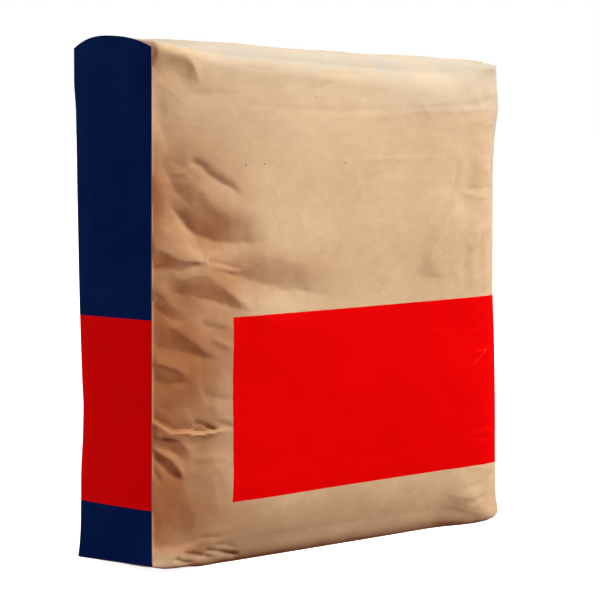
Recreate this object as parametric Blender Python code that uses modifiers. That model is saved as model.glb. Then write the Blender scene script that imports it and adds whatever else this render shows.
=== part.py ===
# A filled paper cement sack: a pasted block-end valve sack that stands on its long side.
# X runs along the sack's tube, from the left block end to the right one. The printed front
# face looks along -Y. Z is up, and the origin is on the floor under the sack's middle.

import math

import bmesh
import bpy

# Driving sizes, in metres.
TUBE_LENGTH = 0.392        # between the two flat block ends
CREST_HEIGHT = 0.405       # floor to the top of the sack at the left end
CREST_DROP = 0.011         # how much lower the top is at the right end
END_DEPTH = 0.088          # front to back across a block end
END_ARCH = 0.0085          # rise of the top over the corners of a block end
END_LIFT = 0.0060          # how far the lower corners of a block end are off the floor
END_WAIST = 0.0065         # how far a block end's loose edge is drawn in at half height
TIGHT_EDGE_WAIST = 0.0007  # the same for the end's other, nearly straight edge
FACE_CROWN = 0.0105        # how far the filling pushes each broad face out
SETTLE = 0.0015            # how much of the soft underside the floor presses flat

# Roundness of the tube's long edges, at a block end and in the middle of the sack.
EDGE_RADIUS_AT_END = 0.001
TOP_RADIUS = 0.042
BASE_RADIUS = 0.021
ROUNDING_REACH = 0.40      # share of half the length over which the edges become round
LEFT_LIFT_REACH = 0.22     # share of half the length over which the left end comes off the floor
RIGHT_LIFT_REACH = 0.10    # the same for the right end, which turns up more sharply
CROWN_AT_EDGES = 0.55      # share of the crown that is left at the tube's top and underside
ARCH_SKEW = 0.5            # how far the arch of a block end leans to the back

# Pasted paper on the block ends.
PAPER_THICKNESS = 0.0005   # two glued plies
PASTE_GAP = 0.0003
COVER_INSET = 0.0015       # from the end's edge to the cover's edge
SLEEVE_WIDTH = 0.056
SLEEVE_DROP = 0.024        # how far the valve sleeve's tongue hangs down over the end
SLEEVE_TOP_INSET = 0.006
SLEEVE_CORNER = 0.004

# Where the cage of the soft form is cut: along the tube, across it, and up from the floor.
LENGTH_CUTS = (-0.93, -0.78, -0.4, 0.4, 0.78, 0.93)
DEPTH_CUTS = (-0.74, -0.48, 0.0, 0.48, 0.74)
HEIGHT_CUTS = (0.045, 0.14, 0.45, 0.74, 0.885, 0.955)
SMOOTHING_LEVELS = 2
OUTLINE_STEPS = 12         # points along each side and along the arch of an end cover

# Looks, as linear colour, roughness and metallic value.
KRAFT = ((0.62, 0.44, 0.27), 0.82, 0.0)
PRINTED_NAVY = ((0.004, 0.011, 0.045), 0.62, 0.0)
SLEEVE_KRAFT = ((0.56, 0.39, 0.23), 0.85, 0.0)


def smooth(value):
    """Ease from 0 to 1, flat at both ends."""
    value = min(max(value, 0.0), 1.0)
    return value * value * (3.0 - 2.0 * value)


def blend(start, end, share):
    return start + (end - start) * share


def crest(along):
    """Height of the top at a place along the tube, from -1 (left) to 1 (right)."""
    return CREST_HEIGHT - CREST_DROP * (along + 1.0) / 2.0


def base(along):
    """Height of the underside before the floor presses it flat. The block ends are lifted."""
    reach = LEFT_LIFT_REACH if along < 0.0 else RIGHT_LIFT_REACH
    nearness = 1.0 - min((1.0 - abs(along)) / reach, 1.0)
    return blend(-SETTLE, END_LIFT, nearness * nearness)


def roundness(along):
    """0 at a block end, where the paper is folded sharp, and 1 where the tube is round."""
    return smooth((1.0 - abs(along)) / ROUNDING_REACH)


def half_depth(along, height, side):
    """Distance from the middle plane to a broad face. side is -1 in front, 1 behind."""
    swell = math.sin(math.pi * height)
    crown = FACE_CROWN * (1.0 - abs(along) ** 2.6) * blend(CROWN_AT_EDGES, 1.0, swell)
    waist = blend(TIGHT_EDGE_WAIST, END_WAIST, (1.0 - side * along) / 2.0)
    waist *= abs(along) ** 8 * math.sqrt(swell)
    return END_DEPTH / 2.0 + crown - waist


def arch(across):
    """Rise of a block end's top edge, 0 at its two corners and about 1 between them."""
    return (1.0 - across * across) * (1.0 + ARCH_SKEW * across)


def skin_point(along, across, height):
    """Moves a point of the unit box (-1..1, -1..1, 0..1) to its place on the sack."""
    low, top = base(along), crest(along)
    side = -1.0 if across < 0.0 else 1.0
    depth = half_depth(along, height, side)
    y = abs(across) * depth
    z = blend(low, top, height)

    is_upper = height > 0.5
    radius = TOP_RADIUS if is_upper else BASE_RADIUS
    radius = blend(EDGE_RADIUS_AT_END, radius, roundness(along))
    inner_y = depth - radius
    inner_z = top - radius if is_upper else low + radius
    off_y = y - inner_y
    off_z = z - inner_z if is_upper else inner_z - z
    on_skin = abs(across) == 1.0 or height in (0.0, 1.0)
    if on_skin and off_y > 0.0 and off_z > 0.0:
        reach = radius / math.hypot(off_y, off_z)
        y = inner_y + off_y * reach
        z = inner_z + off_z * reach if is_upper else inner_z - off_z * reach

    # At a block end the top is an arch between two sharp corners.
    arch_share = (1.0 - roundness(along)) * smooth((height - 0.5) * 2.0)
    z -= END_ARCH * arch_share * (1.0 - arch(across))
    return (along * TUBE_LENGTH / 2.0, side * y, z)


def make_material(name, look):
    colour, roughness, metallic = look
    material = bpy.data.materials.new(name)
    material.use_nodes = True
    shader = material.node_tree.nodes["Principled BSDF"]
    shader.inputs["Base Color"].default_value = (*colour, 1.0)
    shader.inputs["Roughness"].default_value = roughness
    shader.inputs["Metallic"].default_value = metallic
    return material


def add_object(name, data, material, collection):
    item = bpy.data.objects.new(name, data)
    data.materials.append(material)
    collection.objects.link(item)
    return item


def cut_box(mesh, axis, places):
    """Cuts the cage all round at each place along one axis."""
    for place in places:
        point = [0.0, 0.0, 0.0]
        normal = [0.0, 0.0, 0.0]
        point[axis] = place
        normal[axis] = 1.0
        geometry = mesh.verts[:] + mesh.edges[:] + mesh.faces[:]
        bmesh.ops.bisect_plane(mesh, geom=geometry, plane_co=point, plane_no=normal)


def make_sack(material, collection):
    """The paper tube with its filling, as one soft closed form with sharp block ends.

    The soft form dips a little under the floor's height, and what dips is pressed flat.
    """
    cage = bmesh.new()
    bmesh.ops.create_cube(cage, size=2.0)
    bmesh.ops.scale(cage, vec=(1.0, 1.0, 0.5), verts=cage.verts)
    bmesh.ops.translate(cage, vec=(0.0, 0.0, 0.5), verts=cage.verts)
    cut_box(cage, 0, LENGTH_CUTS)
    cut_box(cage, 1, DEPTH_CUTS)
    cut_box(cage, 2, HEIGHT_CUTS)

    edge_crease = cage.edges.layers.float.new("crease_edge")
    corner_crease = cage.verts.layers.float.new("crease_vert")
    for edge in cage.edges:
        on_end = all(abs(vertex.co.x) > 0.999 for vertex in edge.verts)
        on_rim = on_end and any(abs(face.normal.x) < 0.5 for face in edge.link_faces)
        edge[edge_crease] = 1.0 if on_rim else 0.0
    for vertex in cage.verts:
        sharp = abs(vertex.co.x) > 0.999 and abs(vertex.co.y) > 0.999
        sharp = sharp and not 0.001 < vertex.co.z < 0.999
        vertex[corner_crease] = 1.0 if sharp else 0.0
    for vertex in cage.verts:
        along, across, height = (round(value, 6) for value in vertex.co)
        vertex.co = skin_point(along, across, height)

    data = bpy.data.meshes.new("sack_cage")
    cage.to_mesh(data)
    cage.free()
    sack = add_object("paper_sack", data, material, collection)
    soften = sack.modifiers.new("soft_form", "SUBSURF")
    soften.levels = SMOOTHING_LEVELS
    soften.render_levels = SMOOTHING_LEVELS

    bpy.context.view_layer.update()
    evaluated = sack.evaluated_get(bpy.context.evaluated_depsgraph_get())
    sack.data = bpy.data.meshes.new_from_object(evaluated)
    sack.modifiers.clear()
    bpy.data.meshes.remove(data)
    for vertex in sack.data.vertices:
        vertex.co.z = max(vertex.co.z, 0.0)
    sack.data.shade_smooth()
    sack.data.set_sharp_from_angle(angle=math.radians(50.0))


def end_outline(along):
    """The block end's outline inside its edge, as points across (y) and up (z)."""
    steps = [step / OUTLINE_STEPS for step in range(OUTLINE_STEPS + 1)]
    low = base(along) + COVER_INSET
    high = crest(along) - END_ARCH - COVER_INSET
    front = []
    back = []
    for step in steps:
        z = blend(low, high, step)
        front.append((COVER_INSET - half_depth(along, step, -1.0), z))
        back.append((half_depth(along, step, 1.0) - COVER_INSET, z))
    top = []
    for step in steps[1:-1]:
        y = blend(front[-1][0], back[-1][0], step)
        top.append((y, high + END_ARCH * arch(2.0 * step - 1.0)))
    return front + top + back[::-1]


def make_sheet(name, outline, face_x, material, collection):
    """A sheet of pasted paper in the plane of a block end, centred on face_x."""
    curve = bpy.data.curves.new(name, "CURVE")
    curve.dimensions = "2D"
    curve.fill_mode = "BOTH"
    curve.extrude = PAPER_THICKNESS / 2.0
    spline = curve.splines.new("POLY")
    spline.points.add(len(outline) - 1)
    for point, (y, z) in zip(spline.points, outline):
        point.co = (y, z, 0.0, 1.0)
    spline.use_cyclic_u = True
    sheet = add_object(name, curve, material, collection)
    sheet.location = (face_x, 0.0, 0.0)
    sheet.rotation_euler = (math.pi / 2.0, 0.0, math.pi / 2.0)
    return sheet


def sleeve_outline(top):
    """The valve sleeve's tongue: square at its fold, with rounded lower corners."""
    half = SLEEVE_WIDTH / 2.0
    low = top - SLEEVE_DROP
    outline = [(half, top), (-half, top)]
    corners = ((-1.0, math.pi), (1.0, 1.5 * math.pi))
    for side, start in corners:
        centre_y = side * (half - SLEEVE_CORNER)
        for step in range(5):
            turn = start + step / 4.0 * math.pi / 2.0
            y = centre_y + SLEEVE_CORNER * math.cos(turn)
            z = low + SLEEVE_CORNER + SLEEVE_CORNER * math.sin(turn)
            outline.append((y, z))
    return outline


def main():
    for item in list(bpy.data.objects):
        bpy.data.objects.remove(item, do_unlink=True)

    collection = bpy.data.collections.new("cement_bag")
    bpy.context.scene.collection.children.link(collection)
    kraft = make_material("kraft_paper", KRAFT)
    navy = make_material("printed_cover", PRINTED_NAVY)
    sleeve_kraft = make_material("sleeve_paper", SLEEVE_KRAFT)

    make_sack(kraft, collection)
    layer = PASTE_GAP + PAPER_THICKNESS
    cover_x = TUBE_LENGTH / 2.0 + layer - PAPER_THICKNESS / 2.0
    make_sheet("end_cover_left", end_outline(-1.0), -cover_x, navy, collection)
    make_sheet("end_cover_right", end_outline(1.0), cover_x, navy, collection)
    sleeve_top = crest(1.0) - END_ARCH - SLEEVE_TOP_INSET
    make_sheet("valve_sleeve", sleeve_outline(sleeve_top), cover_x + layer, sleeve_kraft, collection)


main()
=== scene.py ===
# Dresses a filled cement sack: creased kraft paper, printed block ends and a valve tongue.
# Lengths are in metres, and the folds of the paper are listed in millimetres.

import math
import random

import bmesh
import bpy
import numpy as np
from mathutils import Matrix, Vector, geometry, noise


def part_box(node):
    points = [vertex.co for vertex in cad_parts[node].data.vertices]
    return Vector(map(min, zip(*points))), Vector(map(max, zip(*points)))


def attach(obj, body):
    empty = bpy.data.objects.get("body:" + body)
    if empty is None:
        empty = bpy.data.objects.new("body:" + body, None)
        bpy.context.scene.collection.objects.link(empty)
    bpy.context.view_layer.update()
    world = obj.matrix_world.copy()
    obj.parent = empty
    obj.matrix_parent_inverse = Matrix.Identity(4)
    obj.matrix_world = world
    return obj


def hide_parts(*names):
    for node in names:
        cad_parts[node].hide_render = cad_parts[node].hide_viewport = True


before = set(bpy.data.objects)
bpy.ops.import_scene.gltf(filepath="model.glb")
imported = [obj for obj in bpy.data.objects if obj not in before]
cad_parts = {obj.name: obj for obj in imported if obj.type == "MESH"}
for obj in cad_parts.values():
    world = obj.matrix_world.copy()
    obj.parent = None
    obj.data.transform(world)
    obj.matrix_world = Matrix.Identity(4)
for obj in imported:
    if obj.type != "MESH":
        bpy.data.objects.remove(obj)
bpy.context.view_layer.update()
mm = 0.001


# Shader nodes.
def addNode(tree, kind, settings=None):
    node = tree.nodes.new("ShaderNode" + kind)
    for name, value in (settings or {}).items():
        node.inputs[name].default_value = value
    return node


def mathNode(tree, operation, *values):
    node = addNode(tree, "Math")
    node.operation = operation
    for index, value in enumerate(values):
        if isinstance(value, (int, float)):
            node.inputs[index].default_value = value
        else:
            tree.links.new(value, node.inputs[index])
    return node.outputs[0]


def blendNodes(tree, *parts):
    # the sum of several values, each times its share
    total = None
    for value, share in parts:
        part = mathNode(tree, "MULTIPLY", value, share)
        total = part if total is None else mathNode(tree, "ADD", total, part)
    return total


def mixColour(tree, share, first, second, blend="MIX"):
    node = addNode(tree, "Mix")
    node.data_type = "RGBA"
    node.blend_type = blend
    sockets = (node.inputs[0], node.inputs[6], node.inputs[7])
    for socket, value in zip(sockets, (share, first, second)):
        if isinstance(value, (int, float)):
            socket.default_value = value
        elif isinstance(value, tuple):
            socket.default_value = (*value, 1.0)
        else:
            tree.links.new(value, socket)
    return node.outputs[2]


def noiseNode(tree, vector, scale, detail=3.0, roughness=0.55, stretch=None):
    if stretch:
        mapping = addNode(tree, "Mapping", {"Scale": stretch})
        tree.links.new(vector, mapping.inputs["Vector"])
        vector = mapping.outputs[0]
    node = addNode(tree, "TexNoise", {"Scale": scale, "Detail": detail, "Roughness": roughness})
    tree.links.new(vector, node.inputs["Vector"])
    return node.outputs["Fac"]


def rangeNode(tree, value, low, high, toLow=0.0, toHigh=1.0):
    node = addNode(tree, "MapRange", {
        "From Min": low, "From Max": high, "To Min": toLow, "To Max": toHigh,
    })
    tree.links.new(value, node.inputs["Value"])
    return node.outputs["Result"]


def attributeNode(tree, name):
    node = addNode(tree, "Attribute")
    node.attribute_name = name
    return node.outputs["Fac"]


def splitNode(tree, vector):
    node = addNode(tree, "SeparateXYZ")
    tree.links.new(vector, node.inputs[0])
    return node.outputs


# Camera and studio.
photoView = {
    "azimuth": -44.5,  # degrees round the sack
    "pitch": 4.1,  # degrees above the horizon
    "distance": 2.1254,
    "lens": 157.5,  # mm
    "sensor": 36.0,  # mm
    "aim": (0.0, 0.0015, 0.19594),
    "sideStep": 0.00276,  # the sack stands a little left of the middle
}

studio = {
    "floorSize": 60.0,
    "floorColour": (0.86, 0.86, 0.86),
    "floorGlow": 0.90,
    "floorBounce": (0.145, 0.060, 0.047),  # the floor's colour where it lights the sack
    "skyBright": 1.0,
    # dim light from all round: warm in front of the sack, white and stronger behind it
    "frontFill": (0.360, 0.140, 0.070),
    "backFill": (0.70, 0.69, 0.68),
    "fillTurn": (-0.15, 0.35),  # of the direction's y, over which the one becomes the other
    # azimuth round the sack and height in degrees, distance and width in metres, power in watts
    "keyLamp": (47.0, 37.0, 6.0, 1.27, 625.0, (0.87, 0.98, 0.99)),
    "keyAim": (0.0, -0.05, 0.2),
    # azimuth, height and width in degrees, and strength
    "endLamp": (-102.0, 18.0, 30.0, 1.0, (1.0, 0.98, 0.97)),
    "backLamp": (176.0, 12.0, 40.0, 1.3, (0.92, 0.98, 1.0)),
}


def aimVector(azimuth, pitch):
    a, p = math.radians(azimuth), math.radians(pitch)
    return Vector((math.sin(a) * math.cos(p), -math.cos(a) * math.cos(p), math.sin(p)))


def placeCamera():
    back = aimVector(photoView["azimuth"], photoView["pitch"])
    a = math.radians(photoView["azimuth"])
    aim = Vector(photoView["aim"]) + Vector((math.cos(a), math.sin(a), 0.0)) * photoView["sideStep"]
    bpy.ops.object.camera_add(
        location=aim + back * photoView["distance"],
        rotation=back.to_track_quat("Z", "Y").to_euler(),
    )
    camera = bpy.context.object
    camera.name = "photoCamera"
    camera.data.lens = photoView["lens"]
    camera.data.sensor_width = photoView["sensor"]
    camera.data.clip_end = studio["floorSize"]
    bpy.context.scene.camera = camera


def placeLamp(kind, name, azimuth, pitch, strength, colour, aim=(0.0, 0.0, 0.0), distance=3.0):
    back = aimVector(azimuth, pitch)
    bpy.ops.object.light_add(
        type=kind, location=Vector(aim) + back * distance,
        rotation=back.to_track_quat("Z", "Y").to_euler(),
    )
    lamp = bpy.context.object
    lamp.name = name
    lamp.data.energy = strength
    lamp.data.color = colour
    return lamp


def placeLamps():
    azimuth, pitch, distance, width, power, colour = studio["keyLamp"]
    key = placeLamp("AREA", "keyLamp", azimuth, pitch, power, colour, studio["keyAim"], distance)
    key.data.shape = "DISK"
    key.data.size = width
    key.visible_camera = False
    for name in ("endLamp", "backLamp"):
        azimuth, pitch, width, strength, colour = studio[name]
        side = placeLamp("SUN", name, azimuth, pitch, strength, colour)
        side.data.angle = math.radians(width)


def showToCamera(tree, out, seen, lighting):
    # the camera sees one shader, and the other one lights the sack
    pick = addNode(tree, "MixShader")
    path = addNode(tree, "LightPath")
    tree.links.new(path.outputs["Is Camera Ray"], pick.inputs["Fac"])
    tree.links.new(lighting.outputs[0], pick.inputs[1])
    tree.links.new(seen.outputs[0], pick.inputs[2])
    tree.links.new(pick.outputs[0], out.inputs["Surface"])


def makeSky():
    world = bpy.data.worlds.new("paleStudio")
    world.use_nodes = True
    bpy.context.scene.world = world
    tree = world.node_tree
    tree.nodes.clear()
    fill = addNode(tree, "Background")
    seen = addNode(tree, "Background", {"Strength": studio["skyBright"], "Color": (1.0, 1.0, 1.0, 1.0)})
    y = splitNode(tree, addNode(tree, "TexCoord").outputs["Generated"])["Y"]
    behind = rangeNode(tree, y, *studio["fillTurn"])
    colour = mixColour(tree, behind, studio["frontFill"], studio["backFill"])
    tree.links.new(colour, fill.inputs["Color"])
    showToCamera(tree, addNode(tree, "OutputWorld"), seen, fill)


def makeFloor():
    bpy.ops.mesh.primitive_plane_add(size=studio["floorSize"], location=(0.0, 0.0, 0.0))
    floor = bpy.context.object
    floor.name = "studioFloor"
    material = bpy.data.materials.new("paleFloor")
    material.use_nodes = True
    tree = material.node_tree
    tree.nodes.clear()
    bounce = addNode(tree, "BsdfDiffuse", {"Color": (*studio["floorBounce"], 1.0)})
    pale = addNode(tree, "BsdfDiffuse", {"Color": (*studio["floorColour"], 1.0)})
    glow = addNode(tree, "Emission", {"Strength": studio["floorGlow"]})
    seen = addNode(tree, "AddShader")
    tree.links.new(pale.outputs[0], seen.inputs[0])
    tree.links.new(glow.outputs[0], seen.inputs[1])
    showToCamera(tree, addNode(tree, "OutputMaterial"), seen, bounce)
    floor.data.materials.append(material)


# Curves and noises.
def ease(value):
    value = np.clip(value, 0.0, 1.0)
    return value * value * (3.0 - 2.0 * value)


def mix(start, end, share):
    return start + (end - start) * share


def softInterp(places, knots):
    # a smooth curve through the knots (place, value), without overshoot
    stops, values = (np.array(part, float) for part in zip(*knots))
    index = np.clip(np.searchsorted(stops, places, side="right") - 1, 0, len(stops) - 2)
    steps = np.diff(values) / np.diff(stops)
    before, after = steps[:-1], steps[1:]
    same = before * after > 0.0
    slopes = np.zeros(len(stops))
    slopes[1:-1] = np.where(same, 2.0 * before * after / np.where(same, before + after, 1.0), 0.0)
    slopes[0], slopes[-1] = steps[0], steps[-1]
    width = stops[index + 1] - stops[index]
    t = np.clip((places - stops[index]) / width, 0.0, 1.0)
    low, high = values[index], values[index + 1]
    return (
        (1 + 2 * t) * (1 - t) ** 2 * low + t * (1 - t) ** 2 * width * slopes[index]
        + t * t * (3 - 2 * t) * high + t * t * (t - 1) * width * slopes[index + 1]
    )


def noiseAt(*axes):
    # smooth noise at each point: each of its coordinates is an array or one number
    points = np.stack(np.broadcast_arrays(*axes), -1)
    return np.array([noise.noise(point) for point in points.tolist()])


# Form of the sack.
sackForm = {
    "crestDrop": 0.011,  # the top falls by this much from the left end to the right one
    "endDepth": 0.088,
    "archRise": (0.0090, 0.0062),  # of the left and the right block end's top over its corners
    "archPower": 2.5,
    "archLean": 0.22,
    # how far the filling pushes each broad face out, in mm: from the left end, push
    "frontCrown": [(0, 0), (14, 2.8), (30, 5.3), (50, 7.6), (75, 9.2), (110, 10.1), (140, 10.2),
                   (200, 9.5), (260, 8.8), (320, 7.6), (350, 6.9), (366, 6.2), (376, 5.2),
                   (385, 3.6), (394, 1.2)],
    "backCrown": [(0, 0), (20, 2.6), (60, 6.4), (120, 8.8), (196, 9.4), (270, 8.8), (330, 6.4),
                  (372, 2.6), (394, 0)],
    "crownAtTop": 0.45,  # share of the push that is left at the top and at the underside
    "crownAtBase": 0.62,
    # roundings of the tube's long edges: inward and upward reach
    "topRound": (0.016, 0.012),
    "topRoundRight": (0.017, 0.030),
    "baseRound": (0.018, 0.066),
    "endRadius": 0.0012,
    "roundReach": 0.40,  # share of half the length over which the edges become round
    "topDome": 0.007,  # fall of the top from its middle to the faces
    # dip of the crest behind the left end's arch, in mm
    "crestDip": [(0, 0), (6, 1.0), (16, 2.6), (30, 2.5), (44, 0.9), (60, 0.2), (110, 0.6), (160, 1.5),
                 (210, 2.2), (320, 2.4), (370, 2.0), (400, 1.6)],
    # height of the underside over the floor, which presses flat what is under it, in mm: from the
    # block end, height
    "leftLift": [(0, 6.8), (12, 4.2), (24, 3.2), (36, 2.2), (50, 0.5), (64, -1.5)],
    "rightLift": [(0, 6.4), (7, 2.6), (16, 1.2), (27, 0.2), (40, -1.5)],
    "leftBackSag": 0.0022,  # how much lower the left end's back corner is than its front one
    "listHeight": 400.0,  # mm that the whole height stands for in the lists below
    # how far the edges of the block ends are drawn in: height and pull in mm
    "leftFrontPull": [(0, -0.6), (8, 0.0), (200, -0.8), (390, -1.9)],
    "leftBackPull": [(0, 1.8), (8, 3.4), (28, 5.2), (65, 5.8), (100, 8.4), (120, 9.0), (140, 7.8),
                     (200, 5.4), (290, 3.4), (350, 2.4), (376, 0.4), (400, 0.4)],
    "rightFrontPull": [(0, 0.2), (7, 0.2), (14, 0.8), (40, 0.8), (90, 0.9), (160, 1.6), (200, 2.2),
                       (300, 2.4), (325, 1.9), (347, 1.2), (363, 0.4), (384, 1.0), (400, 1.5)],
    "rightBackPull": [(0, 0.5), (20, 3.0), (120, 6.0), (230, 8.0), (320, 6.5), (375, 1.5), (400, 2.0)],
    # how far the right block end is sunk towards the filling: height and depth in mm
    "rightTuck": [(0, 0.5), (14, 2.6), (40, 4.0), (90, 4.6), (160, 6.0), (200, 7.3), (300, 7.3),
                  (325, 6.5), (347, 5.0), (363, 3.0), (384, 3.8), (400, 4.2)],
    # the sheet that is rolled into the tube: columns along it and rows around it
    "columns": 180,
    "columnSpread": [(0.0, -1.0), (0.46, -0.42), (0.72, 0.42), (1.0, 1.0)],
    "rows": 500,
    # row share, place across and place up on the unit section
    "rowSpread": [(0.0, 0, 0), (0.01, -0.64, 0), (0.057, -1, 0), (0.61, -1, 1), (0.69, 1, 1),
                  (0.95, 1, 0), (0.985, 0.64, 0), (1.0, 0, 0)],
    "topFrom": 0.97,  # share of the height above which the folds of the top lie
    "seamHeight": 0.236,  # of the tube's glued edge on the back
    "seamStep": 0.0005,
    "seamWidth": 0.0008,
    # folding the rim in: distance inwards and out along the tube for each turn of the paper
    "rimTurns": [(0.00035, 0.0002), (0.0004, 0.00005), (0.002, -0.003)],
    "rimMiddle": 0.2,
    "rimEase": (0.03, 0.18),  # nearer than this to its middle, across and up, it moves in less
}

# Places along the sack run from -1 to 1, across it from -1 to 1 and up it from 0 to 1.
sackLow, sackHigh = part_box("paper_sack")
halfLength = (sackHigh.x - sackLow.x) / 2.0
leftCrest = sackHigh.z + 0.0003  # the paper lies just over the solid


def fromLeftEnd(along):
    return (along + 1.0) * halfLength / mm


def fromRightEnd(along):
    return (1.0 - along) * halfLength / mm


def crestAt(along):
    dip = softInterp(fromLeftEnd(along), sackForm["crestDip"]) * mm
    return leftCrest - sackForm["crestDrop"] * (along + 1.0) / 2.0 - dip


def baseAt(along):
    left = softInterp(fromLeftEnd(along), sackForm["leftLift"])
    right = softInterp(fromRightEnd(along), sackForm["rightLift"])
    return np.maximum(left, right) * mm


def sagAt(along, across, height):
    share = (across + 1.0) / 2.0 * np.maximum(-along, 0.0) ** 8
    return sackForm["leftBackSag"] * share * (1.0 - ease(height * 2.0))


def roundnessAt(along):
    return ease((1.0 - np.abs(along)) / sackForm["roundReach"])


def listedAt(name, height):
    return softInterp(height * sackForm["listHeight"], sackForm[name]) * mm


def pullAt(along, height, side):
    front = side < 0.0
    left = np.where(front, listedAt("leftFrontPull", height), listedAt("leftBackPull", height))
    right = np.where(front, listedAt("rightFrontPull", height), listedAt("rightBackPull", height))
    return np.where(along < 0.0, left * np.abs(along) ** 6, right * np.abs(along) ** 7)


def halfDepthAt(along, height, side):
    front = softInterp(fromLeftEnd(along), sackForm["frontCrown"])
    back = softInterp(fromLeftEnd(along), sackForm["backCrown"])
    bulge = np.sin(np.pi * height)
    rest = np.where(height > 0.5, sackForm["crownAtTop"], sackForm["crownAtBase"])
    crown = np.where(side < 0.0, front, back) * mm * mix(rest, 1.0, bulge)
    return sackForm["endDepth"] / 2.0 + crown - pullAt(along, height, side)


def facesAt(along, height):
    # half depths in front and behind
    behind = np.ones_like(along)
    return halfDepthAt(along, height, -behind), halfDepthAt(along, height, behind)


def archFall(along, across):
    arch = (1.0 - np.abs(across) ** sackForm["archPower"]) * (1.0 + sackForm["archLean"] * across)
    return mix(*sackForm["archRise"], (along + 1.0) / 2.0) * (1.0 - arch)


def topFall(along, across):
    # how far the top lies under its crest: an arch at the ends, a flatter dome between them
    dome = sackForm["topDome"] * np.abs(across) ** 3
    return mix(archFall(along, across), dome, roundnessAt(along))


def sectionPoint(along, across, height):
    # from the unit section to the sack's skin
    low, top = baseAt(along), crestAt(along)
    side = np.where(across < 0.0, -1.0, 1.0)
    depth = halfDepthAt(along, height, side)
    y = np.abs(across) * depth
    z = mix(low, top, height)
    upper = height > 0.5
    share, roundness = (along + 1.0) / 2.0, roundnessAt(along)
    rounds = (sackForm["topRound"], sackForm["topRoundRight"], sackForm["baseRound"])
    inward, upward = (
        mix(sackForm["endRadius"], np.where(upper, mix(left, right, share), below), roundness)
        for left, right, below in zip(*rounds)
    )
    innerY = depth - inward
    innerZ = np.where(upper, top - upward, low + upward)
    offY = (y - innerY) / inward
    offZ = np.where(upper, z - innerZ, innerZ - z) / upward
    inCorner = (offY > 0.0) & (offZ > 0.0)
    far = np.maximum(np.hypot(offY, offZ), 1e-9)
    y = np.where(inCorner, innerY + offY / far * inward, y)
    z = np.where(inCorner, innerZ + np.where(upper, 1.0, -1.0) * offZ / far * upward, z)
    x = along * halfLength - listedAt("rightTuck", height) * np.maximum(along, 0.0) ** 4
    z = z - topFall(along, across) * ease((height - 0.5) * 2.0) - sagAt(along, across, height)
    return x, side * y, z


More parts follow.
